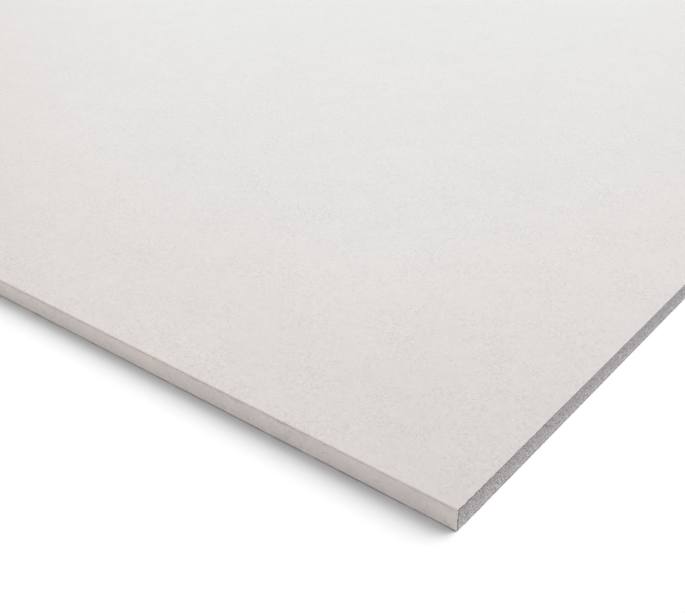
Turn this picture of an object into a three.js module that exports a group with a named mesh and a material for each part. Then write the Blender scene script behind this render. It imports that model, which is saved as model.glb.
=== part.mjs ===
// Square-edge drywall sheet, lying face up: a gypsum core, a face paper wrapped round both long edges
// and folded under the back, and a back paper glued over the folded flaps.
//
// Millimetres. X runs along the length, Y across the width and Z up through the thickness. The origin is
// in the middle of the back, on the surface that the sheet lies on. Every piece has one section across
// the width, drawn in (Y, Z), and keeps it for the whole length between the two cut ends.
import * as THREE from 'three';

// Driving dimensions
const sheetLength = 2400;
const sheetWidth = 1200;
const sheetThickness = 12.5;
const facePaperThickness = 0.35;
const backPaperThickness = 0.3;
const faceArrisRadius = 0.3; // rounding of the core, where a long edge meets the face
const backArrisRadius = 0.3; // rounding of the core, where a long edge meets the back
const flapWidth = 30; // how far the face paper folds under the back, from each long edge
const backPaperSetback = 6; // how far the back paper stops short of each long edge
const arrisSteps = 4; // half the number of flat facets in a rounded arris

const facePaperColour = '#e5e2de';
const backPaperColour = '#b5aa9b';
const gypsumColour = '#cdcacb';
const paperRoughness = 0.9;
const gypsumRoughness = 1;

// Surfaces that more than one piece meets
const edgeY = sheetWidth / 2;
const flapEndY = edgeY - flapWidth;
const flapUndersideZ = backPaperThickness;

// Points of the face paper's section at a depth below its outside, clockwise from the end of the flap on
// the -Y side, over the face, to the end of the flap on the +Y side. Each bend turns a quarter circle
// about the centre of its core arris, so the paper keeps its thickness round it.
function wrapPoints(depth) {
  const faceBend = faceArrisRadius + facePaperThickness;
  const backBend = backArrisRadius + facePaperThickness;
  const faceZ = sheetThickness - faceBend;
  const backZ = flapUndersideZ + backBend;
  const quarterTurn = Math.PI / 2;
  const clockwise = true;

  const wrap = new THREE.Path();
  wrap.moveTo(-flapEndY, flapUndersideZ + depth);
  wrap.absarc(backBend - edgeY, backZ, backBend - depth, -quarterTurn, -2 * quarterTurn, clockwise);
  wrap.absarc(faceBend - edgeY, faceZ, faceBend - depth, 2 * quarterTurn, quarterTurn, clockwise);
  wrap.absarc(edgeY - faceBend, faceZ, faceBend - depth, quarterTurn, 0, clockwise);
  wrap.absarc(edgeY - backBend, backZ, backBend - depth, 0, -quarterTurn, clockwise);
  wrap.lineTo(flapEndY, flapUndersideZ + depth);
  return wrap.getPoints(arrisSteps);
}

// A closed piece with the given section in (Y, Z), from one cut end of the sheet to the other
function lengthOf(name, section, material) {
  const geometry = new THREE.ExtrudeGeometry(new THREE.Shape(section), {
    depth: sheetLength,
    bevelEnabled: false,
  });
  geometry.translate(0, 0, -sheetLength / 2);
  const alongX = new THREE.Vector3(1, 0, 0);
  const acrossY = new THREE.Vector3(0, 1, 0);
  const upZ = new THREE.Vector3(0, 0, 1);
  geometry.applyMatrix4(new THREE.Matrix4().makeBasis(acrossY, upZ, alongX));
  const mesh = new THREE.Mesh(geometry, material);
  mesh.name = name;
  return mesh;
}

// The core fills the wrap. Its underside steps up over each flap and rests on the back paper between them.
function gypsumCore() {
  const section = [
    ...wrapPoints(facePaperThickness),
    new THREE.Vector2(flapEndY, flapUndersideZ),
    new THREE.Vector2(-flapEndY, flapUndersideZ),
  ];
  const gypsum = new THREE.MeshStandardMaterial({
    color: gypsumColour,
    roughness: gypsumRoughness,
    metalness: 0,
  });
  return lengthOf('gypsum_core', section, gypsum);
}

// The face paper is the band between the outside of the wrap and the core.
function facePaper() {
  const section = [...wrapPoints(0), ...wrapPoints(facePaperThickness).reverse()];
  const paper = new THREE.MeshStandardMaterial({
    color: facePaperColour,
    roughness: paperRoughness,
    metalness: 0,
  });
  return lengthOf('face_paper', section, paper);
}

// The back paper is a flat strip under the core that laps over both flaps.
function backPaper() {
  const reachY = edgeY - backPaperSetback;
  const section = [
    new THREE.Vector2(-reachY, 0),
    new THREE.Vector2(reachY, 0),
    new THREE.Vector2(reachY, flapUndersideZ),
    new THREE.Vector2(-reachY, flapUndersideZ),
  ];
  const paper = new THREE.MeshStandardMaterial({
    color: backPaperColour,
    roughness: paperRoughness,
    metalness: 0,
  });
  return lengthOf('back_paper', section, paper);
}

const drywallSheet = new THREE.Group();
drywallSheet.add(gypsumCore(), facePaper(), backPaper());

export default drywallSheet;
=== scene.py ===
import math

import bpy
import numpy as np
from mathutils import Matrix, Vector


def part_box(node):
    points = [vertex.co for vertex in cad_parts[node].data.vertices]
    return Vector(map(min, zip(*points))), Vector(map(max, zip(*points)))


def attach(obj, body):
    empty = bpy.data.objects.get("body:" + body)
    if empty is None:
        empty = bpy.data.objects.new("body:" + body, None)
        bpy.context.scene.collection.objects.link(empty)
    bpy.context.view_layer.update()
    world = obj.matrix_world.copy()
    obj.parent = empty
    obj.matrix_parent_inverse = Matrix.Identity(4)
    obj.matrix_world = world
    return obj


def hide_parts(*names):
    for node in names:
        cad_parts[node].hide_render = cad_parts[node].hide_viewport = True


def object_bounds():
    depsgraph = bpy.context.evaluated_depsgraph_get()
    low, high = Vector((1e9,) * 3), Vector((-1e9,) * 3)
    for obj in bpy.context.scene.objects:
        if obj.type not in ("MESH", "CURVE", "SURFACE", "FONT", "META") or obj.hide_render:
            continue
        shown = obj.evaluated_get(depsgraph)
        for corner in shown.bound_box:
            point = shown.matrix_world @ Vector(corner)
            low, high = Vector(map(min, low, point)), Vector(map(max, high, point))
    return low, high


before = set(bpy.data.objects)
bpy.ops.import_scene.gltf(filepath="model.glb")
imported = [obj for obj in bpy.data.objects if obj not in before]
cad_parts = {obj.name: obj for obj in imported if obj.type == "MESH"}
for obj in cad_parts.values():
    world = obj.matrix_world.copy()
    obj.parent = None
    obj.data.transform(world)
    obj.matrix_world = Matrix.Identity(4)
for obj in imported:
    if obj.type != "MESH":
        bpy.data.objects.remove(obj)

bl_info = {
    "name": "Drywall sheet",
    "version": (1, 0, 0),
    "blender": (4, 5, 0),
    "location": "View3D > Sidebar > Drywall",
    "description": "Finishes a square-edge drywall sheet: face paper, gypsum core, back paper and stage",
    "category": "Object",
}

MM = 0.001
CAD_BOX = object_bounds()


def linear(colour):
    """An sRGB hex colour as linear red, green and blue, for a colour property or a lamp."""
    parts = [int(colour[i : i + 2], 16) / 255 for i in (1, 3, 5)]
    return tuple(c / 12.92 if c <= 0.04045 else ((c + 0.055) / 1.055) ** 2.4 for c in parts)


def length_property(name, description, default):
    """A property that holds a length, with its default given in metres."""
    return bpy.props.FloatProperty(
        name=name, description=description, default=default, unit="LENGTH", subtype="DISTANCE", precision=5
    )


def colour_property(name, description, default):
    """A property that holds a linear colour, with its default given in sRGB hex."""
    return bpy.props.FloatVectorProperty(
        name=name, description=description, default=linear(default), subtype="COLOR", min=0, max=1
    )


def number_property(name, description, default):
    """A property that holds a plain number."""
    return bpy.props.FloatProperty(name=name, description=description, default=default)


def angle_property(name, description, degrees):
    """A property that holds an angle, with its default given in degrees."""
    return bpy.props.FloatProperty(
        name=name, description=description, default=math.radians(degrees), subtype="ANGLE"
    )


# ---------------------------------------------------------------------------------------------------
# What a user would change


class SheetSizes(bpy.types.PropertyGroup):
    """Sizes of the sheet that its CAD boxes don't give, and of the relief on its surfaces."""

    face_arris: length_property("Face arris", "Core radius where a long edge meets the face", 0.3 * MM)
    back_arris: length_property("Back arris", "Core radius where a long edge meets the back", 0.3 * MM)
    flap_width: length_property("Flap width", "How far the face paper folds under the back", 30 * MM)
    score_width: length_property("Score width", "Width of the scored line under the face arris", 0.5 * MM)
    score_depth: length_property("Score depth", "Depth of the scored line under the face arris", 0.14 * MM)
    bubble_spacing: length_property("Bubble spacing", "Distance between bubbles cut open", 1.5 * MM)
    bubble_depth: length_property("Bubble depth", "Depth of the largest bubble cut open", 0.5 * MM)
    saw_depth: length_property("Saw depth", "Unevenness that the saw leaves in the core", 0.1 * MM)
    crush_depth: length_property("Crush depth", "How far the core is broken back by the paper", 0.6 * MM)
    fray_depth: length_property("Face fray", "Unevenness of the face paper's cut edges", 0.62 * MM)
    back_fray_depth: length_property("Back fray", "Unevenness of the back paper's cut edges", 0.25 * MM)
    wear_reach: length_property("Wear reach", "How far inwards the cut ends are worn", 100 * MM)


class SheetColours(bpy.types.PropertyGroup):
    """Colours of the two papers and the core."""

    face_paper: colour_property("Face paper", "Pale top ply of the face paper", "#d6cac4")
    wrapped_warm: colour_property("Warm edge", "Warmer patches on the long edges", "#e2d4cb")
    wrapped_grey: colour_property("Grey edge", "Greyer patches on the long edges", "#dcd0ca")
    dark_fibre: colour_property("Dark fibres", "Stray dark fibres in the top ply", "#9a877c")
    pale_fibre: colour_property("Pale fibres", "Bleached fibres in the top ply", "#f6ece7")
    speck: colour_property("Specks", "Specks of ink in the top ply", "#82695a")
    # A grey for painted shade near the corners of the face, where less light falls
    corner_shade_grey: colour_property("Hand dirt", "Dirt that handling leaves near the corners", "#9fa1a2")
    face_ply: colour_property("Face plies", "Inner plies of the face paper, where it is cut", "#bdb7b4")
    # Darker plies near the corners: partly soiling, partly painted shade along the cut under the face
    soiled_shaded_ply: colour_property("Soiled plies", "Those plies, soiled near the corners", "#8f8986")
    wall_ply: colour_property("Long edge plies", "Those plies, on the long edges", "#ddd6d1")
    # Partly the plies' own tone, partly painted contact shade along the bottom of the cut end
    back_ply_and_shade: colour_property("Back plies", "Inner plies of the back paper, where it is cut", "#7d766f")
    gypsum: colour_property("Gypsum", "Set plaster between the bubbles", "#b9b3b4")
    skin: colour_property("Dense skin", "Denser plaster against the back paper", "#cbcac9")
    pore: colour_property("Pores", "Shaded inside of a small open bubble", "#55504f")
    back_paper: colour_property("Back paper", "Unbleached back paper", "#b8ae9f")
    back_fibre: colour_property("Back fibres", "Dark fibres in the back paper", "#8a7f70")


class StageSettings(bpy.types.PropertyGroup):
    """The camera, measured from the near corner of the sheet's face, and the light."""

    camera_along: length_property("Camera along", "Camera past the cut end, along the length", 0.1583)
    camera_out: length_property("Camera out", "Camera out from the long edge, across the width", 0.2745)
    camera_up: length_property("Camera up", "Camera above the face", 0.2871)
    azimuth: angle_property("Azimuth", "Where the camera stands, turned from -Y towards +X", 38.96)
    elevation: angle_property("Elevation", "Angle at which the camera looks down", 30.41)
    roll: angle_property("Roll", "Turn of the camera about its own axis", -0.58)
    focal_length: number_property("Focal length", "In millimetres, on a full-frame sensor", 50.18)
    key: number_property("Key light", "Light on the face from the large lamp behind", 0.785)
    fill: number_property("Fill light", "Light on the face from the low lamp in front", 0.115)
    sky: number_property("Sky light", "Light on the face from all round", 0.1)
    sheen: number_property("Sheen cards", "Brightness of the cards that the face mirrors softly", 2.0)


# ---------------------------------------------------------------------------------------------------
# Shapes


def quads(index):
    """The quads between neighbours in a two-dimensional array of vertex numbers."""
    corners = (index[:-1, :-1], index[:-1, 1:], index[1:, 1:], index[1:, :-1])
    return np.stack(corners, axis=-1).reshape(-1, 4)


def rim(grid):
    """The border of a two-dimensional array as one closed ring, anticlockwise from its first corner."""
    return np.concatenate([grid[0, :-1], grid[:-1, -1], grid[-1, :0:-1], grid[:0:-1, 0]])


def run_between_ends(section, half_length, relief, shoulder):
    """A closed run of one section between two cut ends.

    section is a (rows, columns, channels) grid of y, z and anything else that a point carries. Each end is
    that grid at x = +-(half_length - relief), where relief is a (2, rows, columns) array of depths below
    the cut plane, one layer for each end. The outside joins the two rims, with a plain ring of the section
    set in from each end by shoulder, so that relief changes nothing beyond it. Returns the points as rows
    of x, y, z and the rest, the quads, and how many of the quads lie on ends.
    """
    rows, columns, channels = section.shape
    ends = []
    for side, depth in zip((1, -1), relief):
        x = side * (half_length - depth)
        ends.append(np.dstack([x, section]).reshape(-1, channels + 1))
    ring = rim(section)
    set_in = np.full(len(ring), half_length - shoulder)
    rings = [np.column_stack([side * set_in, ring]) for side in (1, -1)]

    numbers = np.arange(rows * columns).reshape(rows, columns)
    right, left = numbers, numbers + numbers.size
    ring_right = 2 * numbers.size + np.arange(len(ring))
    ring_left = ring_right + len(ring)
    loops = np.stack([rim(left), ring_left, ring_right, rim(right)])
    loops = np.column_stack([loops, loops[:, :1]])
    end_quads = np.vstack([quads(right), quads(left)[:, ::-1]])
    return np.vstack([*ends, *rings]), np.vstack([end_quads, quads(loops)[:, ::-1]]), len(end_quads)


def spread(width, near, fine, coarse):
    """Places across a width, fine steps apart up to near from either side and coarse steps between."""
    edge = np.arange(0, near, fine)
    middle = np.linspace(near, width - near, max(2, round((width - 2 * near) / coarse)))
    return np.concatenate([edge, middle, width - edge[::-1]])


def waves(across, up, shortest, longest, count, seed):
    """Gentle unevenness from -1 to 1: the mean of count sine waves of seeded direction, length and phase,
    with lengths spread evenly by ratio from shortest to longest."""
    rng = np.random.default_rng(seed)
    total = np.zeros(np.broadcast(across, up).shape)
    for length in np.geomspace(shortest, longest, count):
        turn, phase = rng.uniform(0, 2 * math.pi, 2)
        total += np.sin((across * math.cos(turn) + up * math.sin(turn)) * 2 * math.pi / length + phase)
    return total / count


SMALLEST_BUBBLE, LARGEST_BUBBLE = 0.2, 0.6


def bubbles(across, up, spacing, seed):
    """Depth, from 0 to 1, of bubbles cut open at a plane. Each square cell of the given spacing holds one
    bubble at a seeded place. Its radius, in spacings, is the smallest plus a seeded share, squared, of the
    way to the largest, so that small ones are common. Under it the depth follows its round wall:
    sqrt(1 - (distance / radius)^2), times radius over largest."""
    rng = np.random.default_rng(seed)
    column, row = np.floor(across / spacing).astype(int), np.floor(up / spacing).astype(int)
    first_column, first_row = column.min() - 1, row.min() - 1
    shape = (row.max() - first_row + 2, column.max() - first_column + 2)
    place_across, place_up, size = rng.random((3, *shape))
    depth = np.zeros(np.broadcast(across, up).shape)
    for step_up in (-1, 0, 1):
        for step_across in (-1, 0, 1):
            r, c = row + step_up, column + step_across
            here = (r - first_row, c - first_column)
            away_across = (c + place_across[here]) - across / spacing
            away_up = (r + place_up[here]) - up / spacing
            radius = SMALLEST_BUBBLE + (LARGEST_BUBBLE - SMALLEST_BUBBLE) * size[here] ** 2
            inside = np.clip(1 - (away_across**2 + away_up**2) / radius**2, 0, 1)
            depth = np.maximum(depth, np.sqrt(inside) * radius / LARGEST_BUBBLE)
    return depth


FLAT_PLACE = "flat_place"
SHARP_BEND = 40


def make_piece(name, points, faces, on_ends, surface, cut, node):
    """Makes a piece of the sheet from rows of points and quads, the first on_ends of them on the cut ends,
    and lets it stand for its CAD node. A fourth channel of the points is how far across the paper a point
    was before the paper was wrapped. It is kept beside x as the point's place on the flat paper."""
    mesh = bpy.data.meshes.new(name)
    mesh.from_pydata(points[:, :3], [], faces)
    if points.shape[1] > 3:
        flat = np.column_stack([points[:, 0], points[:, 3], np.zeros(len(points))])
        mesh.attributes.new(FLAT_PLACE, "FLOAT_VECTOR", "POINT").data.foreach_set("vector", flat.ravel())
    mesh.materials.append(surface)
    mesh.materials.append(cut)
    mesh.polygons.foreach_set("material_index", (np.arange(len(faces)) < on_ends).astype(np.int32))
    mesh.polygons.foreach_set("use_smooth", np.ones(len(faces), dtype=bool))
    mesh.set_sharp_from_angle(angle=math.radians(SHARP_BEND))
    piece = bpy.data.objects.new(name, mesh)
    bpy.context.scene.collection.objects.link(piece)
    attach(piece, "root")
    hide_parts(node)


class Sheet:
    """The sheet's sizes in metres, from its CAD boxes and the size properties. The flat sizes are distances
    across the flat paper, from the middle of the face to where the wall, the fold and the flap begin."""

    def __init__(self, sizes):
        face_low, face_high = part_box("face_paper")
        core_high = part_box("gypsum_core")[1]
        back_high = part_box("back_paper")[1]
        self.half_length = face_high.x
        self.edge = face_high.y
        self.top = face_high.z
        self.face_paper = face_high.z - core_high.z
        self.flap_underside = face_low.z
        self.back_edge = back_high.y
        self.back_top = back_high.z
        self.flap_end = self.edge - sizes.flap_width
        self.face_bend = sizes.face_arris + self.face_paper
        self.back_bend = sizes.back_arris + self.face_paper
        self.core_top = self.top - self.face_paper
        self.core_edge = self.edge - self.face_paper
        self.flat_wall = self.edge - self.face_bend + self.face_bend * math.pi / 2
        self.flat_fold = self.flat_wall + self.top - self.face_bend - self.flap_underside - self.back_bend
        self.flat_flap = self.flat_fold + self.back_bend * math.pi / 2


# Steps across the cut ends: fine up to NEAR_CORNER from either long edge, and coarse between
NEAR_CORNER = 280 * MM
PAPER_STEP, PAPER_COARSE_STEP = 0.5 * MM, 4 * MM
CORE_STEP, CORE_COARSE_STEP = 0.42 * MM, 5 * MM
FLAP_STEPS, BEND_STEPS, WALL_STEPS = 5, 10, 48
SHOULDER = 4 * MM
STEP_RISE = 0.01 * MM


def face_paper_section(sheet, sizes):
    """The face paper's band as a (2, columns, 3) grid of y, z and the place across the flat paper, with
    row 0 against the core and row 1 outside.

    One side is a straight flap, a quarter circle of the back bend, a straight wall and a quarter circle of
    the face bend; the other side is its mirror image, and the face is straight between them. Outside, a
    score just below the face bend dips in by a squared cosine. The place across the flat paper is the
    length along the outside from the middle of the face.
    """
    flap = np.linspace(0, 1, FLAP_STEPS, endpoint=False)[:, None]
    turn = np.linspace(0, math.pi / 2, BEND_STEPS + 1)
    low_y, low_z = sheet.edge - sheet.back_bend, sheet.flap_underside + sheet.back_bend
    high_y, high_z = sheet.edge - sheet.face_bend, sheet.top - sheet.face_bend
    wall_z = np.linspace(low_z, high_z, WALL_STEPS)[1:-1]
    away = (wall_z - (high_z - sizes.score_width / 2)) / sizes.score_width
    dip = np.cos(np.clip(away, -0.5, 0.5) * math.pi) ** 2
    face_y = spread(2 * high_y, NEAR_CORNER, PAPER_STEP, PAPER_COARSE_STEP)[1:-1] - high_y

    rows = []
    for depth, score_depth in ((sheet.face_paper, 0), (0, sizes.score_depth)):
        flap_start = np.array([sheet.flap_end, sheet.flap_underside + depth])
        low, high = sheet.back_bend - depth, sheet.face_bend - depth
        side = np.vstack(
            [
                flap_start + flap * np.array([low_y - sheet.flap_end, 0]),
                np.column_stack([low_y + low * np.sin(turn), low_z - low * np.cos(turn)]),
                np.column_stack([sheet.edge - depth - score_depth * dip, wall_z]),
                np.column_stack([high_y + high * np.cos(turn), high_z + high * np.sin(turn)]),
            ]
        )
        face = np.column_stack([face_y, np.full(len(face_y), sheet.top - depth)])
        rows.append(np.vstack([side * (-1, 1), face, side[::-1]]))
    steps = np.hypot(*np.diff(rows[1], axis=0).T)
    flat = np.concatenate([[0], np.cumsum(steps)]) - steps.sum() / 2
    return np.dstack([np.stack(rows), np.broadcast_to(flat, (2, len(flat)))])


def core_section(sheet, sizes):
    """The core's section as a (rows, columns, 2) grid of y and z.

    Each column runs straight up from the underside to the top at its place across the width. The top
    drops to the long edges by a quarter circle of the face arris. The underside rises to them by one of
    the back arris, and steps down between the flaps onto the back paper.
    """
    edge = sheet.core_edge
    across = spread(2 * edge, NEAR_CORNER, CORE_STEP, CORE_COARSE_STEP) - edge
    rounding = edge - sizes.face_arris * (1 - np.cos(np.linspace(0, math.pi / 2, BEND_STEPS + 1)))
    step_place = np.array([sheet.flap_end - STEP_RISE, sheet.flap_end + STEP_RISE])
    across = np.unique(np.concatenate([across, rounding, -rounding, step_place, -step_place]))
    into_face = np.clip(np.abs(across) - (edge - sizes.face_arris), 0, sizes.face_arris)
    into_back = np.clip(np.abs(across) - (edge - sizes.back_arris), 0, sizes.back_arris)
    high = sheet.core_top - sizes.face_arris + np.sqrt(sizes.face_arris**2 - into_face**2)
    low = sheet.flap_underside + sheet.face_paper
    low = low + sizes.back_arris - np.sqrt(sizes.back_arris**2 - into_back**2)
    low = np.where(np.abs(across) < sheet.flap_end, sheet.flap_underside, low)
    rows = round((sheet.core_top - sheet.flap_underside) / CORE_STEP)
    up = low + (high - low) * np.linspace(0, 1, rows + 1)[:, None]
    return np.dstack([np.broadcast_to(across, up.shape), up])


LEAST_WEAR = 0.15


def wear(across, sheet, sizes):
    """How far handling has worn a cut end: 1 at the long edges and the least wear far from them, by a bell
    curve of the distance."""
    inwards = sheet.edge - np.abs(across)
    return LEAST_WEAR + (1 - LEAST_WEAR) * np.exp(-((inwards / sizes.wear_reach) ** 2))


# Shortest and longest of the waves, and how many there are
SAW_WAVES = (1.5 * MM, 40 * MM, 40)
CRUMBLE_WAVES = (0.9 * MM, 12 * MM, 24)
FRAY_WAVES = (1.2 * MM, 12 * MM, 14)

CRUSH_REACH = 0.5 * MM
CRUMBLE_SWING = 2.5
LEAST_CRUMBLE = 0.2


def core_relief(section, sheet, sizes, seed):
    """Depth of a cut core end below the cut plane: saw waves, plus the deeper of bubbles cut open and a
    band broken back beside the face paper.

    The saw waves are half the saw depth times one plus waves. The band is the crush depth times the wear,
    fading by a bell curve of the distance from the paper on the face or the long edge. It breaks back
    further in some places than in others, by one plus CRUMBLE_SWING times waves, not under LEAST_CRUMBLE.
    """
    across, up = section[..., 0], section[..., 1]
    saw = sizes.saw_depth * (1 + waves(across, up, *SAW_WAVES, seed)) / 2
    pits = sizes.bubble_depth * bubbles(across, up, sizes.bubble_spacing, seed)
    from_paper = np.minimum(sheet.core_top - up, sheet.core_edge - np.abs(across))
    crumble = np.clip(1 + CRUMBLE_SWING * waves(across, up, *CRUMBLE_WAVES, seed + 1), LEAST_CRUMBLE, None)
    fading = np.exp(-((from_paper / CRUSH_REACH) ** 2))
    crush = sizes.crush_depth * wear(across, sheet, sizes) * crumble * fading
    return saw + np.maximum(pits, crush)


FRAY_SWING = 1.7
THROUGH_PAPER = 40
NICK_START = 0.4


def paper_relief(section, depth, seed):
    """Depth of a paper's cut edge below the cut plane, uneven along the edge, with nicks.

    The unevenness is FRAY_SWING times waves. Heights in them are multiplied by THROUGH_PAPER, so that the
    two sides of the thin paper fray apart. The depth is multiplied by half of one plus the unevenness, not
    under 0, plus a nick, which is what the unevenness has over NICK_START.
    """
    across, up = section[..., 0], section[..., 1]
    uneven = FRAY_SWING * waves(across, THROUGH_PAPER * up, *FRAY_WAVES, seed)
    nick = np.clip(uneven - NICK_START, 0, None)
    return depth * (np.clip((1 + uneven) / 2, 0, None) + nick)


# ---------------------------------------------------------------------------------------------------
# Materials

# A colour Mix node's sockets. Its sockets for numbers and vectors have the same names.
MIX_A, MIX_B, MIX_RESULT = 6, 7, 2


def add(tree, kind, sockets=(), **settings):
    """Adds a node with its settings. sockets holds values in the order of the node's sockets, or a dict of
    them by name or number, and a value that is another node's output is linked. Gives the new outputs."""
    made = tree.nodes.new(kind)
    for name, value in settings.items():
        setattr(made, name, value)
    named = sockets if isinstance(sockets, dict) else dict(enumerate(sockets))
    for name, value in named.items():
        if isinstance(value, bpy.types.NodeSocket):
            tree.links.new(value, made.inputs[name])
        else:
            made.inputs[name].default_value = value
    return made.outputs


def rgba(colour):
    """A colour property as a shader colour."""
    return (*colour, 1.0)


def new_material(name):
    """An empty node material and its tree."""
    material = bpy.data.materials.new(name)
    material.use_nodes = True
    material.node_tree.nodes.clear()
    return material, material.node_tree


# Most of a noise's values lie within half of this either side of a half
NOISE_SPAN = 0.4


def noise_scale(size):
    """The scale at which the patches of a noise are about size metres across. At scale 1 they are about half
    a unit across."""
    return 0.5 / size


def distance(tree, value, place):
    """How far a coordinate is from a place, to either side."""
    away = add(tree, "ShaderNodeMath", (value, place), operation="SUBTRACT")[0]
    return add(tree, "ShaderNodeMath", (away,), operation="ABSOLUTE")[0]


def toned(tree, colour, tones):
    """colour multiplied by each of the tones, where 1 leaves it as it is."""
    for tone in tones:
        sockets = {"Factor": 1.0, MIX_A: colour, MIX_B: tone}
        colour = add(tree, "ShaderNodeMix", sockets, data_type="RGBA", blend_type="MULTIPLY")[MIX_RESULT]
    return colour


def layered(tree, colour, layers):
    """colour with layers laid over it, each a mask from 0 to 1 and the colour that it brings in."""
    for mask, other in layers:
        sockets = {"Factor": mask, MIX_A: colour, MIX_B: rgba(other)}
        colour = add(tree, "ShaderNodeMix", sockets, data_type="RGBA")[MIX_RESULT]
    return colour


def mottled(tree, place, colour, patches):
    """colour made lighter and darker by noise. For each size in metres and amount in patches, it is
    multiplied by a factor from about 1 - amount to 1 + amount."""
    tones = []
    for size, amount in patches:
        sockets = {"Vector": place, "Scale": noise_scale(size), "Detail": 2.0, "Roughness": 0.6}
        noise = add(tree, "ShaderNodeTexNoise", sockets)["Fac"]
        slope = 2 * amount / NOISE_SPAN
        tones.append(add(tree, "ShaderNodeMath", (noise, slope, 1 - slope / 2), operation="MULTIPLY_ADD")[0])
    return toned(tree, colour, tones)


CELLS_A_FIBRE = 0.8
SHARPEST_CURL = 1.2


def fibres(tree, flat, length, width, share, strength):
    """Short curved fibres of one length and width in metres, as a mask from 0 to strength.

    Random points on the flat paper each have a cell round them, with CELLS_A_FIBRE cells to a fibre's
    length, and a share of the cells holds a fibre. It is part of a parabola through the point,
    beside = bend * along^2, turned at random and bent at random, at most by SHARPEST_CURL over its length.
    The mask falls off over half the width beside the curve, and from a third to half of the length along it.
    """
    sockets = {"Vector": flat, "Scale": CELLS_A_FIBRE / length}
    cell = add(tree, "ShaderNodeTexVoronoi", sockets, voronoi_dimensions="2D")
    chance = add(tree, "ShaderNodeSeparateColor", (cell["Color"],))
    away = add(tree, "ShaderNodeVectorMath", (flat, cell["Position"]), operation="SUBTRACT")["Vector"]
    turn = add(tree, "ShaderNodeMath", (chance["Red"], 2 * math.pi), operation="MULTIPLY")[0]
    turned = add(tree, "ShaderNodeVectorRotate", {"Vector": away, "Angle": turn}, rotation_type="Z_AXIS")[0]
    placed = add(tree, "ShaderNodeSeparateXYZ", (turned,))
    sharpest = SHARPEST_CURL / length
    bend = add(tree, "ShaderNodeMapRange", (chance["Green"], 0, 1, -sharpest, sharpest))[0]
    squared = add(tree, "ShaderNodeMath", (placed["X"], placed["X"]), operation="MULTIPLY")[0]
    curve = add(tree, "ShaderNodeMath", (squared, bend), operation="MULTIPLY")[0]
    beside, along = distance(tree, placed["Y"], curve), distance(tree, placed["X"], 0)
    thin = add(tree, "ShaderNodeMapRange", (beside, 0, width / 2, strength, 0))[0]
    short = add(tree, "ShaderNodeMapRange", (along, length / 3, length / 2, 1, 0))[0]
    kept = add(tree, "ShaderNodeMath", (chance["Blue"], share), operation="LESS_THAN")[0]
    mask = add(tree, "ShaderNodeMath", (thin, short), operation="MULTIPLY")[0]
    return add(tree, "ShaderNodeMath", (mask, kept), operation="MULTIPLY")[0]


FULL_DOT = 0.55


def dots(tree, place, spacing, smallest, largest, share, strength):
    """Round dots, as a mask from 0 to strength. Random points about spacing metres apart each have a dot
    of random radius, from smallest to largest in metres, and a share of them is kept. The mask rises from
    the dot's rim inwards to FULL_DOT of its radius, along a smooth step."""
    cell = add(tree, "ShaderNodeTexVoronoi", {"Vector": place, "Scale": 1 / spacing})
    chance = add(tree, "ShaderNodeSeparateColor", (cell["Color"],))
    sockets = (chance["Red"], 0, 1, smallest / spacing, largest / spacing)
    radius = add(tree, "ShaderNodeMapRange", sockets)[0]
    out = add(tree, "ShaderNodeMath", (cell["Distance"], radius), operation="DIVIDE")[0]
    sockets = (out, 1, FULL_DOT, 0, strength)
    dot = add(tree, "ShaderNodeMapRange", sockets, interpolation_type="SMOOTHSTEP")[0]
    kept = add(tree, "ShaderNodeMath", (chance["Green"], share), operation="LESS_THAN")[0]
    return add(tree, "ShaderNodeMath", (dot, kept), operation="MULTIPLY")[0]


def matt_surface(tree, colour, height, relief, roughness, ior, invert=False):
    """Ends a material with a plain surface, roughened by a height from 0 to 1 that stands for a relief in
    metres."""
    normal = add(tree, "ShaderNodeBump", {"Height": height, "Distance": relief}, invert=invert)["Normal"]
    sockets = {"Base Color": colour, "Normal": normal, "Roughness": roughness, "IOR": ior}
    surface = add(tree, "ShaderNodeBsdfPrincipled", sockets)["BSDF"]
    add(tree, "ShaderNodeOutputMaterial", {"Surface": surface})


# Size in metres and amount of the face paper's lighter and darker patches
FACE_PATCHES = (
    (60 * MM, 0.008),
    (12 * MM, 0.013),
    (2.8 * MM, 0.018),
    (1.2 * MM, 0.023),
    (0.6 * MM, 0.023),
    (0.35 * MM, 0.031),
)
# Patches of warm and grey paper round the long edges: their size, the values of their noise between which
# grey turns to warm, and how much less those values are at the top of the edge
EDGE_PATCH = 8 * MM
GREY_TO_WARM = (0.36, 0.52)
GREYER_AT_TOP = 0.12
EDGE_BLEND = 0.6 * MM
# Clusters of fibres: their size, the values of their noise between which fibres grow more common, and the
# least and the greatest share of the cells that hold one
CLUSTER = 18 * MM
THIN_TO_THICK = (0.43, 0.64)
FIBRE_SHARES = (0.04, 0.7)
# Length and width in metres, strength and colour of the fibres that lie in clusters
CLUSTERED_FIBRES = (
    (7 * MM, 0.6 * MM, 0.2, "dark_fibre"),
    (4 * MM, 0.6 * MM, 0.3, "dark_fibre"),
    (2.8 * MM, 0.6 * MM, 0.45, "pale_fibre"),
    (2.2 * MM, 0.65 * MM, 0.44, "dark_fibre"),
)
# Length, width, share and strength of the inky fibres, and spacing, smallest and largest radius, share and
# strength of the specks
INKY_FIBRES = (4.5 * MM, 0.7 * MM, 0.03, 0.3)
SPECKS = (14 * MM, 0.35 * MM, 0.8 * MM, 0.4, 0.42)
# Painted shade near the corners, where less light falls: how far from a corner it starts to fade and ends,
# and its share at most
CORNER_SHADE_REACH = (30 * MM, 200 * MM)
CORNER_SHADE_SHARE = 0.075
# Noise on the long edges: the size of its patches, the values of their noise from the least to the most
# marked places, how far its lines wander and the values between which they do
EDGE_NOISE_PATCH = 5 * MM
LEAST_TO_MOST = (0.35, 0.65)
LINE_WANDER = 0.4 * MM
WANDER_VALUES = (0.3, 0.7)
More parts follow.
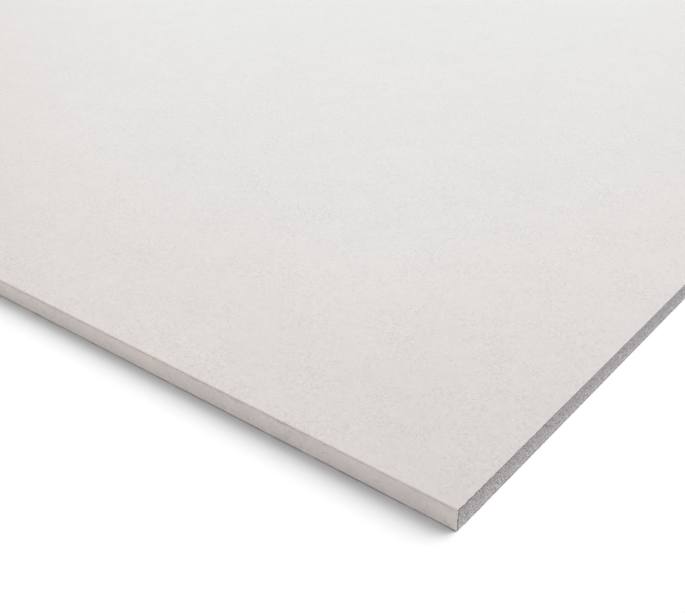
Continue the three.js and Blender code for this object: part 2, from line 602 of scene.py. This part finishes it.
# Painted shade in the score: how far below the bend it lies, where it starts to fade and ends to either
# side, its darkest tone, and how near the cut ends it is left out
SCORE_SHADE_PLACE = 0.05 * MM
SCORE_SHADE_REACH = (0.1 * MM, 0.4 * MM)
SCORE_SHADE_TONE = 0.6
SHADE_FREE_REACH = 14 * MM
# Painted shade on the fold onto the flap, where the sheet meets the floor: where it starts to fade and ends
# to either side, and its tone
FOLD_SHADE_REACH = (0.45 * MM, 0.75 * MM)
FOLD_SHADE_TONE = 0.15
# Painted light in a band over the lower bend, making up for the light that the wall lacks near the floor:
# its height and the tones of its least and most lifted places
LIFTED_REACH = 1.4 * MM
LIFTED_TONES = (1.02, 1.18)


def clean_face_paper(tree, flat, across, sheet, colours):
    """The face paper's own colour: even on the face, and round the long edges in patches of grey and warm,
    with more grey at the top."""
    sockets = {"Vector": flat, "Scale": noise_scale(EDGE_PATCH), "Detail": 2.0}
    patch = add(tree, "ShaderNodeTexNoise", sockets)["Fac"]
    sockets = (across, sheet.flat_wall, sheet.flat_fold, -GREYER_AT_TOP, 0)
    greyer = add(tree, "ShaderNodeMapRange", sockets)[0]
    patch = add(tree, "ShaderNodeMath", (patch, greyer), operation="ADD")[0]
    warm = add(tree, "ShaderNodeMapRange", (patch, *GREY_TO_WARM, 0, 1))[0]
    edge = layered(tree, rgba(colours.wrapped_grey), ((warm, colours.wrapped_warm),))
    sockets = (across, sheet.flat_wall - EDGE_BLEND, sheet.flat_wall, 0, 1)
    wrapped = add(tree, "ShaderNodeMapRange", sockets)[0]
    sockets = {"Factor": wrapped, MIX_A: rgba(colours.face_paper), MIX_B: edge}
    return add(tree, "ShaderNodeMix", sockets, data_type="RGBA")[MIX_RESULT]


def face_marks(tree, flat, colours):
    """Masks and colours of the fibres and specks in the top ply. Most fibres lie in loose clusters."""
    sockets = {"Vector": flat, "Scale": noise_scale(CLUSTER), "Detail": 3.0}
    thick = add(tree, "ShaderNodeTexNoise", sockets)["Fac"]
    share = add(tree, "ShaderNodeMapRange", (thick, *THIN_TO_THICK, *FIBRE_SHARES))[0]
    marks = []
    for length, width, strength, colour in CLUSTERED_FIBRES:
        marks.append((fibres(tree, flat, length, width, share, strength), getattr(colours, colour)))
    marks.append((fibres(tree, flat, *INKY_FIBRES), colours.speck))
    marks.append((dots(tree, flat, *SPECKS), colours.speck))
    return marks


def painted_corner_shade(tree, along, across, sheet):
    """A mask of painted shade, which fades with the distance from each corner of the sheet."""
    from_end = add(tree, "ShaderNodeMath", (sheet.half_length, along), operation="SUBTRACT")[0]
    from_edge = add(tree, "ShaderNodeMath", (sheet.flat_wall, across), operation="SUBTRACT")[0]
    to_corner = add(tree, "ShaderNodeCombineXYZ", (from_end, from_edge))["Vector"]
    from_corner = add(tree, "ShaderNodeVectorMath", (to_corner,), operation="LENGTH")["Value"]
    return add(tree, "ShaderNodeMapRange", (from_corner, *CORNER_SHADE_REACH, CORNER_SHADE_SHARE, 0))[0]


def edge_painted_shade_and_light(tree, flat, along, across, sheet):
    """Painted shade and light on the long edges: painted shade in the score and on the fold onto the flap,
    and a painted lighter band above the fold. One noise makes the lines wander, a second varies the score's
    shade and a third the lighter band. Near the cut ends the score is left without shade."""
    sockets = {"Vector": flat, "Scale": noise_scale(EDGE_NOISE_PATCH), "Detail": 4.0}
    edge_noise = add(tree, "ShaderNodeTexNoise", sockets)["Color"]
    edge_noise = add(tree, "ShaderNodeSeparateColor", (edge_noise,))
    sockets = (edge_noise["Red"], *WANDER_VALUES, -LINE_WANDER, LINE_WANDER)
    wander = add(tree, "ShaderNodeMapRange", sockets)[0]
    across = add(tree, "ShaderNodeMath", (across, wander), operation="ADD")[0]

    # Painted shade in the score, left out near the cut ends
    darkest = add(tree, "ShaderNodeMapRange", (edge_noise["Green"], *LEAST_TO_MOST, SCORE_SHADE_TONE, 1))[0]
    sockets = (along, sheet.half_length - SHADE_FREE_REACH, sheet.half_length, SCORE_SHADE_TONE, 1)
    shade_free_near_end = add(tree, "ShaderNodeMapRange", sockets)[0]
    darkest = add(tree, "ShaderNodeMath", (darkest, shade_free_near_end), operation="MAXIMUM")[0]
    from_score = distance(tree, across, sheet.flat_wall + SCORE_SHADE_PLACE)
    score_shade = add(tree, "ShaderNodeMapRange", (from_score, *SCORE_SHADE_REACH, darkest, 1))[0]

    # Painted shade on the fold onto the flap, where the sheet meets the floor
    from_fold = distance(tree, across, sheet.flat_flap)
    fold_shade = add(tree, "ShaderNodeMapRange", (from_fold, *FOLD_SHADE_REACH, FOLD_SHADE_TONE, 1))[0]
    # A painted lighter band above the fold, where the wall gets less light near the floor
    palest = add(tree, "ShaderNodeMapRange", (edge_noise["Blue"], *LEAST_TO_MOST, *LIFTED_TONES))[0]
    sockets = (across, sheet.flat_fold - LIFTED_REACH, sheet.flat_fold, 1, palest)
    lifted_band = add(tree, "ShaderNodeMapRange", sockets)[0]
    return score_shade, fold_shade, lifted_band


# Recycled multi-ply liner board, with a pale top ply, formed on a wire and calendered between smooth rolls.
# That gives a matt, felted off-white with short dark and pale fibres, lying all ways and in loose clusters,
# a few specks of ink, and a soft sheen where it is seen at a low angle. Round the long edges it was scored,
# folded and handled: it is patchy and a little warmer. Painted shade darkens the score and the lower fold,
# a painted lighter band lies above that, and painted shade darkens the face near the corners. Its fibres
# are about 0.03 mm thick, too fine to show, and are drawn 0.6 to 0.7 mm thick and faint.
def face_paper_material(sheet, colours):
    material, tree = new_material("Calendered_face_liner")
    place = add(tree, "ShaderNodeTexCoord")["Object"]
    flat = add(tree, "ShaderNodeAttribute", attribute_name=FLAT_PLACE)["Vector"]
    at = add(tree, "ShaderNodeSeparateXYZ", (flat,))
    along, across = distance(tree, at["X"], 0), distance(tree, at["Y"], 0)

    colour = clean_face_paper(tree, flat, across, sheet, colours)
    colour = mottled(tree, place, colour, FACE_PATCHES)
    colour = layered(tree, colour, face_marks(tree, flat, colours))
    # Painted shade near each corner
    corner_shade_mask = painted_corner_shade(tree, along, across, sheet)
    colour = layered(tree, colour, ((corner_shade_mask, colours.corner_shade_grey),))
    # Painted shade in the score and on the fold, and a painted lighter band above the fold
    colour = toned(tree, colour, edge_painted_shade_and_light(tree, flat, along, across, sheet))

    sockets = {"Vector": place, "Scale": noise_scale(0.9 * MM), "Detail": 3.0, "Roughness": 0.7}
    felt = add(tree, "ShaderNodeTexNoise", sockets)["Fac"]
    matt_surface(tree, colour, felt, relief=0.02 * MM, roughness=0.4, ior=1.5)
    return material


# Size in metres and amount of the lighter and darker patches in the cut edge of a paper
CUT_PATCHES = ((2.5 * MM, 0.05), (0.5 * MM, 0.1))


# Liner board sawn across with its sheet. Its inner plies are loose, frayed and quite matt. Towards the
# corners, within twice the reach of the wear, they are soiled and carry painted shade, and on the long edges
# they are paler.
def cut_paper_material(name, clean_ply, soiled_shaded_ply, wall_ply, wall, wear_reach):
    material, tree = new_material(name)
    place = add(tree, "ShaderNodeTexCoord")["Object"]
    at = add(tree, "ShaderNodeSeparateXYZ", (place,))
    across = distance(tree, at["Y"], 0)
    # Soiling and painted shade towards the corners
    soiled_and_shaded = add(tree, "ShaderNodeMapRange", (across, wall - 2 * wear_reach, wall, 0, 1))[0]
    on_wall = add(tree, "ShaderNodeMath", (across, wall), operation="GREATER_THAN")[0]
    colour = layered(tree, rgba(clean_ply), ((soiled_and_shaded, soiled_shaded_ply), (on_wall, wall_ply)))
    colour = mottled(tree, place, colour, CUT_PATCHES)
    sockets = {"Vector": place, "Scale": noise_scale(0.4 * MM), "Detail": 3.0}
    fray = add(tree, "ShaderNodeTexNoise", sockets)["Fac"]
    matt_surface(tree, colour, fray, relief=0.1 * MM, roughness=0.95, ior=1.45)
    return material


# Size in metres and amount of the lighter and darker patches in the gypsum
GYPSUM_PATCHES = ((5 * MM, 0.02), (0.8 * MM, 0.06), (0.35 * MM, 0.58))
# Spacing, smallest and largest radius, share and strength of the pores
SMALL_PORES = (0.75 * MM, 0.1 * MM, 0.38 * MM, 0.7, 0.5)
LARGE_PORES = (2.4 * MM, 0.2 * MM, 0.62 * MM, 0.5, 0.55)
# The crumbled band beside the face paper, partly crumbled core and partly painted shade under the paper's
# edge:
# the size of its ragged teeth and how far they reach, the ragged distances at which it is darkest and at
# which it ends, and its tone where wear is greatest
RAGGED_PATCH = 1.2 * MM
RAGGED_REACH = 1.6 * MM
CRUMBLED_SHADE_REACH = (-0.8 * MM, 0.2 * MM)
CRUMBLED_SHADE_TONE = 0.5
# Tones at the underside and at the top: the core is darker towards the top
BOTTOM_AND_TOP_TONES = (1.1, 0.86)
# Painted shade along the bottom, where the sheet meets the floor: the heights between which it ends, and its
# tone
CONTACT_SHADE_HEIGHTS = (0.55 * MM, 0.95 * MM)
CONTACT_SHADE_TONE = 0.5
# The dense skin: its height, where it starts to fade and ends to either side, and its share at most
SKIN_HEIGHT = 1.6 * MM
SKIN_REACH = (0.2 * MM, 0.7 * MM)
SKIN_SHARE = 0.45


def gypsum_tones(tree, place, sheet, wear_reach):
    """Tones of a cut end: crumbled beside the face paper with painted shade there, in ragged teeth and most
    near the long edges, a little darker towards the top, and painted shade along the bottom."""
    at = add(tree, "ShaderNodeSeparateXYZ", (place,))
    below_face = add(tree, "ShaderNodeMath", (sheet.core_top, at["Z"]), operation="SUBTRACT")[0]
    across = distance(tree, at["Y"], 0)
    inside_edge = add(tree, "ShaderNodeMath", (sheet.core_edge, across), operation="SUBTRACT")[0]
    from_paper = add(tree, "ShaderNodeMath", (below_face, inside_edge), operation="MINIMUM")[0]
    sockets = {"Vector": place, "Scale": noise_scale(RAGGED_PATCH), "Detail": 3.0}
    ragged = add(tree, "ShaderNodeTexNoise", sockets)["Fac"]
    sockets = (ragged, -RAGGED_REACH, from_paper)
    from_paper = add(tree, "ShaderNodeMath", sockets, operation="MULTIPLY_ADD")[0]
    # Crumbled core and painted shade beside the face paper, darkest near the long edges
    worn_and_shaded = add(tree, "ShaderNodeMapRange", (inside_edge, 0, 2 * wear_reach, CRUMBLED_SHADE_TONE, 1))[0]
    crumbled_and_shaded = add(tree, "ShaderNodeMapRange", (from_paper, *CRUMBLED_SHADE_REACH, worn_and_shaded, 1))[0]
    darker_upwards = add(tree, "ShaderNodeMapRange", (at["Z"], 0, sheet.core_top, *BOTTOM_AND_TOP_TONES))[0]
    # Painted shade along the bottom, where the sheet meets the floor
    contact_shade = add(tree, "ShaderNodeMapRange", (at["Z"], *CONTACT_SHADE_HEIGHTS, CONTACT_SHADE_TONE, 1))[0]
    return crumbled_and_shaded, darker_upwards, contact_shade


# Gypsum plaster, foamed, set and sawn. It is chalky, pale grey and quite matt, with a crystalline grain and
# dark pores where the saw cut bubbles open. Beside the face paper it has crumbled, with painted shade there,
# the more so near the long edges, and the slurry against the back paper set dense and paler. It is darker
# towards the top, with painted shade along the bottom. Its crystals, 0.05 mm, are too fine to show, and are
# drawn 0.35 mm across.
def gypsum_material(sheet, wear_reach, colours):
    material, tree = new_material("Foamed_gypsum_sawn")
    place = add(tree, "ShaderNodeTexCoord")["Object"]
    colour = mottled(tree, place, rgba(colours.gypsum), GYPSUM_PATCHES)
    small, large = dots(tree, place, *SMALL_PORES), dots(tree, place, *LARGE_PORES)
    at = add(tree, "ShaderNodeSeparateXYZ", (place,))
    from_skin = distance(tree, at["Z"], SKIN_HEIGHT)
    dense = add(tree, "ShaderNodeMapRange", (from_skin, *SKIN_REACH, SKIN_SHARE, 0))[0]
    colour = layered(tree, colour, ((small, colours.pore), (large, colours.pore), (dense, colours.skin)))
    # Painted shade beside the face paper and along the bottom, and darker towards the top
    colour = toned(tree, colour, gypsum_tones(tree, place, sheet, wear_reach))

    open_pores = add(tree, "ShaderNodeMath", (small, large), operation="ADD")[0]
    matt_surface(tree, colour, open_pores, relief=0.12 * MM, roughness=1.0, ior=1.52, invert=True)
    return material


# Size in metres and amount of the back paper's lighter and darker patches
BACK_PATCHES = ((30 * MM, 0.03), (4 * MM, 0.03), (0.8 * MM, 0.06))
# Length and width in metres, share, strength and colour of its fibres
BACK_FIBRES = (
    (7 * MM, 0.28 * MM, 0.6, 0.5, "back_fibre"),
    (3.1 * MM, 0.26 * MM, 0.7, 0.5, "back_fibre"),
    (4.6 * MM, 0.3 * MM, 0.4, 0.3, "pale_fibre"),
)


# Unbleached recycled liner board, formed on a wire. It is a matt grey-brown, clouded, with felted dark
# fibres. They are about 0.03 mm thick, too fine to show, and are drawn 0.26 to 0.3 mm thick.
def back_paper_material(colours):
    material, tree = new_material("Recycled_back_liner")
    place = add(tree, "ShaderNodeTexCoord")["Object"]
    colour = mottled(tree, place, rgba(colours.back_paper), BACK_PATCHES)
    marks = [(fibres(tree, place, *sizes), getattr(colours, ink)) for *sizes, ink in BACK_FIBRES]
    colour = layered(tree, colour, marks)
    sockets = {"Vector": place, "Scale": noise_scale(0.8 * MM), "Detail": 3.0}
    felt = add(tree, "ShaderNodeTexNoise", sockets)["Fac"]
    matt_surface(tree, colour, felt, relief=0.04 * MM, roughness=0.85, ior=1.45)
    return material


# ---------------------------------------------------------------------------------------------------
# Operators

# Seeds of the relief on the two cut ends
CORE_SEEDS = (11, 12)
FACE_PAPER_SEEDS = (21, 22)
BACK_PAPER_SEEDS = (31, 32)


class DRYWALL_OT_gypsum_core(bpy.types.Operator):
    """Makes the foamed gypsum core, with both ends cut through its bubbles"""

    bl_idname = "drywall.gypsum_core"
    bl_label = "Gypsum core"

    def execute(self, context):
        sizes, colours = context.scene.drywall_sizes, context.scene.drywall_colours
        sheet = Sheet(sizes)
        section = core_section(sheet, sizes)
        relief = np.stack([core_relief(section, sheet, sizes, seed) for seed in CORE_SEEDS])
        points, faces, on_ends = run_between_ends(section, sheet.half_length, relief, SHOULDER)
        gypsum = gypsum_material(sheet, sizes.wear_reach, colours)
        make_piece("core_of_gypsum", points, faces, on_ends, gypsum, gypsum, "gypsum_core")
        return {"FINISHED"}


class DRYWALL_OT_face_paper(bpy.types.Operator):
    """Makes the face paper, wrapped round both long edges and folded under the back"""

    bl_idname = "drywall.face_paper"
    bl_label = "Face paper"

    def execute(self, context):
        sizes, colours = context.scene.drywall_sizes, context.scene.drywall_colours
        sheet = Sheet(sizes)
        section = face_paper_section(sheet, sizes)
        fray = sizes.fray_depth * wear(section[..., 0], sheet, sizes)
        relief = np.stack([paper_relief(section, fray, seed) for seed in FACE_PAPER_SEEDS])
        points, faces, on_ends = run_between_ends(section, sheet.half_length, relief, SHOULDER)
        surface = face_paper_material(sheet, colours)
        plies = (colours.face_ply, colours.soiled_shaded_ply, colours.wall_ply)
        cut = cut_paper_material("Face_liner_cut_edge", *plies, sheet.core_edge, sizes.wear_reach)
        make_piece("liner_on_face", points, faces, on_ends, surface, cut, "face_paper")
        return {"FINISHED"}


class DRYWALL_OT_back_paper(bpy.types.Operator):
    """Makes the back paper, a flat strip that laps over both flaps"""

    bl_idname = "drywall.back_paper"
    bl_label = "Back paper"

    def execute(self, context):
        sizes, colours = context.scene.drywall_sizes, context.scene.drywall_colours
        sheet = Sheet(sizes)
        across = spread(2 * sheet.back_edge, NEAR_CORNER, PAPER_STEP, PAPER_COARSE_STEP) - sheet.back_edge
        up = np.array([0.0, sheet.back_top])[:, None]
        section = np.dstack(np.broadcast_arrays(across, up))
        fray = sizes.back_fray_depth
        relief = np.stack([paper_relief(section, fray, seed) for seed in BACK_PAPER_SEEDS])
        points, faces, on_ends = run_between_ends(section, sheet.half_length, relief, SHOULDER)
        surface = back_paper_material(colours)
        # The dark back plies also paint the contact shade at the bottom of the cut end
        plies = (colours.back_ply_and_shade,) * 3
        cut = cut_paper_material("Back_liner_cut_edge", *plies, sheet.core_edge, sizes.wear_reach)
        make_piece("liner_on_back", points, faces, on_ends, surface, cut, "back_paper")
        return {"FINISHED"}


FLOOR_REACH = 60.0
WHITE_CARD = 0.9
CAMERA_FLOOR_GAIN = (1.059, 1.053, 1.05)


# White card. The camera sees it a little brighter than it is lit, so that it is plain white away from the
# sheet, and it keeps the sheet's shadow. The gain is a little warm, to make up for the cool fill.
def floor_material(light):
    material, tree = new_material("White_card_floor")
    seen = add(tree, "ShaderNodeLightPath")["Is Camera Ray"]
    gains = [gain / light for gain in CAMERA_FLOOR_GAIN]
    white = layered(tree, rgba((WHITE_CARD,) * 3), ((seen, gains),))
    surface = add(tree, "ShaderNodeBsdfDiffuse", {"Color": white})["BSDF"]
    add(tree, "ShaderNodeOutputMaterial", {"Surface": surface})
    return material


def towards(azimuth, elevation):
    """The direction at an azimuth, 0 behind the sheet towards +Y and 90 towards +X, and an elevation."""
    a, e = math.radians(azimuth), math.radians(elevation)
    return Vector((math.sin(a) * math.cos(e), math.cos(a) * math.cos(e), math.sin(e)))


def add_lamp(name, brightness, azimuth, elevation, spread_angle, colour):
    """A wide, far lamp of a given brightness, where white paper in full light is 1. Seen from the sheet it
    is a disc spread_angle degrees wide, and what it gives a surface that faces it is
    brightness * pi * sin(spread_angle / 2)^2."""
    lamp = bpy.data.lights.new(name, "SUN")
    lamp.angle = math.radians(spread_angle)
    lamp.energy = brightness * math.pi * math.sin(math.radians(spread_angle / 2)) ** 2
    lamp.color = linear(colour)
    holder = bpy.data.objects.new(name, lamp)
    holder.rotation_euler = towards(azimuth, elevation).to_track_quat("Z", "Y").to_euler()
    bpy.context.scene.collection.objects.link(holder)
    return holder


def brightness_for(light_on_level, elevation, spread_angle):
    """The brightness of a lamp that lights a level surface to a share of what makes white paper white."""
    half = math.radians(spread_angle / 2)
    return light_on_level / (math.sin(half) ** 2 * math.sin(math.radians(elevation)))


def add_world(sky, colour):
    """An even sky. The camera, mirrors and glass see white; other rays see the sky's own level and
    colour."""
    world = bpy.data.worlds.new("Studio")
    world.use_nodes = True
    tree = world.node_tree
    tree.nodes.clear()
    path = add(tree, "ShaderNodeLightPath")
    seen = path["Is Camera Ray"]
    for ray in ("Is Glossy Ray", "Is Transmission Ray"):
        seen = add(tree, "ShaderNodeMath", (seen, path[ray]), operation="MAXIMUM")[0]
    strength = add(tree, "ShaderNodeMapRange", (seen, 0, 1, sky, 1))[0]
    white = layered(tree, rgba(linear(colour)), ((seen, (1, 1, 1)),))
    surface = add(tree, "ShaderNodeBackground", {"Color": white, "Strength": strength})["Background"]
    add(tree, "ShaderNodeOutputWorld", {"Surface": surface})
    bpy.context.scene.world = world


SENSOR_WIDTH = 36
CLIP_START, CLIP_END = 0.01, 200


def add_camera(stage):
    """The camera, placed from the near corner of the sheet's face."""
    a, e, r = stage.azimuth, stage.elevation, stage.roll
    back = Vector((math.sin(a) * math.cos(e), -math.cos(a) * math.cos(e), math.sin(e)))
    right = Vector((math.cos(a), math.sin(a), 0))
    up = back.cross(right)
    turned_right = math.cos(r) * right + math.sin(r) * up
    turned_up = math.cos(r) * up - math.sin(r) * right
    corner = Vector((CAD_BOX[1].x, CAD_BOX[0].y, CAD_BOX[1].z))
    camera = bpy.data.cameras.new("Camera")
    camera.lens, camera.sensor_width = stage.focal_length, SENSOR_WIDTH
    camera.clip_start, camera.clip_end = CLIP_START, CLIP_END
    holder = bpy.data.objects.new("Camera", camera)
    place = corner + Vector((stage.camera_along, -stage.camera_out, stage.camera_up))
    axes = Matrix((turned_right, turned_up, back)).transposed().to_4x4()
    holder.matrix_world = Matrix.Translation(place) @ axes
    bpy.context.scene.collection.objects.link(holder)
    bpy.context.scene.camera = holder


# Azimuth, elevation and spread of each lamp, in degrees. The key is behind the sheet and the fill low in
# front of it. The sheen cards are what the face mirrors at a low angle.
KEY_PLACE = (24, 47, 62)
FILL_PLACE = (180, 16, 50)
SHEEN_PLACES = {"left_sheen_card": (-48, 29, 29), "right_sheen_card": (-23, 29, 29)}
# The light from the key is neutral, and what comes back from the room is cooler
KEY_WHITE = "#ffffff"
FILL_WHITE = "#f1f8ff"
CARD_WHITE = "#b1e3f5"
SKY_WHITE = "#f8fdff"


class DRYWALL_OT_stage(bpy.types.Operator):
    """Makes the white floor, the lamps, the sky and the camera"""

    bl_idname = "drywall.stage"
    bl_label = "Stage"

    def execute(self, context):
        stage = context.scene.drywall_stage
        corners = [(x * FLOOR_REACH, y * FLOOR_REACH, 0) for x, y in ((-1, -1), (1, -1), (1, 1), (-1, 1))]
        mesh = bpy.data.meshes.new("floor")
        mesh.from_pydata(corners, [], [(0, 1, 2, 3)])
        mesh.materials.append(floor_material(stage.key + stage.fill + stage.sky))
        floor = bpy.data.objects.new("floor", mesh)
        context.scene.collection.objects.link(floor)
        key = add_lamp("key_lamp", brightness_for(stage.key, *KEY_PLACE[1:]), *KEY_PLACE, KEY_WHITE)
        add_lamp("fill_lamp", brightness_for(stage.fill, *FILL_PLACE[1:]), *FILL_PLACE, FILL_WHITE)
        # The face mirrors the cards in place of the key, so that its sheen is set by itself
        key.visible_glossy = False
        for name, place in SHEEN_PLACES.items():
            card = add_lamp(name, stage.sheen, *place, CARD_WHITE)
            card.visible_diffuse = False
        add_world(stage.sky, SKY_WHITE)
        add_camera(stage)
        context.scene.view_settings.view_transform = "Standard"
        return {"FINISHED"}


class DRYWALL_PT_sheet(bpy.types.Panel):
    """Lists the sizes, the colours and the operators"""

    bl_idname = "DRYWALL_PT_sheet"
    bl_label = "Drywall sheet"
    bl_space_type = "VIEW_3D"
    bl_region_type = "UI"
    bl_category = "Drywall"

    def draw(self, context):
        for group in SETTINGS:
            settings = getattr(context.scene, group)
            for name in settings.__annotations__:
                self.layout.prop(settings, name)
        for operator in OPERATORS:
            self.layout.operator(operator.bl_idname)


SETTINGS = {"drywall_sizes": SheetSizes, "drywall_colours": SheetColours, "drywall_stage": StageSettings}
OPERATORS = (DRYWALL_OT_gypsum_core, DRYWALL_OT_face_paper, DRYWALL_OT_back_paper, DRYWALL_OT_stage)


def register():
    for kind in (*SETTINGS.values(), *OPERATORS, DRYWALL_PT_sheet):
        bpy.utils.register_class(kind)
    for name, kind in SETTINGS.items():
        setattr(bpy.types.Scene, name, bpy.props.PointerProperty(type=kind))


def unregister():
    for name in SETTINGS:
        delattr(bpy.types.Scene, name)
    for kind in (DRYWALL_PT_sheet, *reversed(OPERATORS), *reversed(SETTINGS.values())):
        bpy.utils.unregister_class(kind)


def main():
    register()
    bpy.ops.drywall.gypsum_core()
    bpy.ops.drywall.face_paper()
    bpy.ops.drywall.back_paper()
    bpy.ops.drywall.stage()


if __name__ == "__main__":
    main()
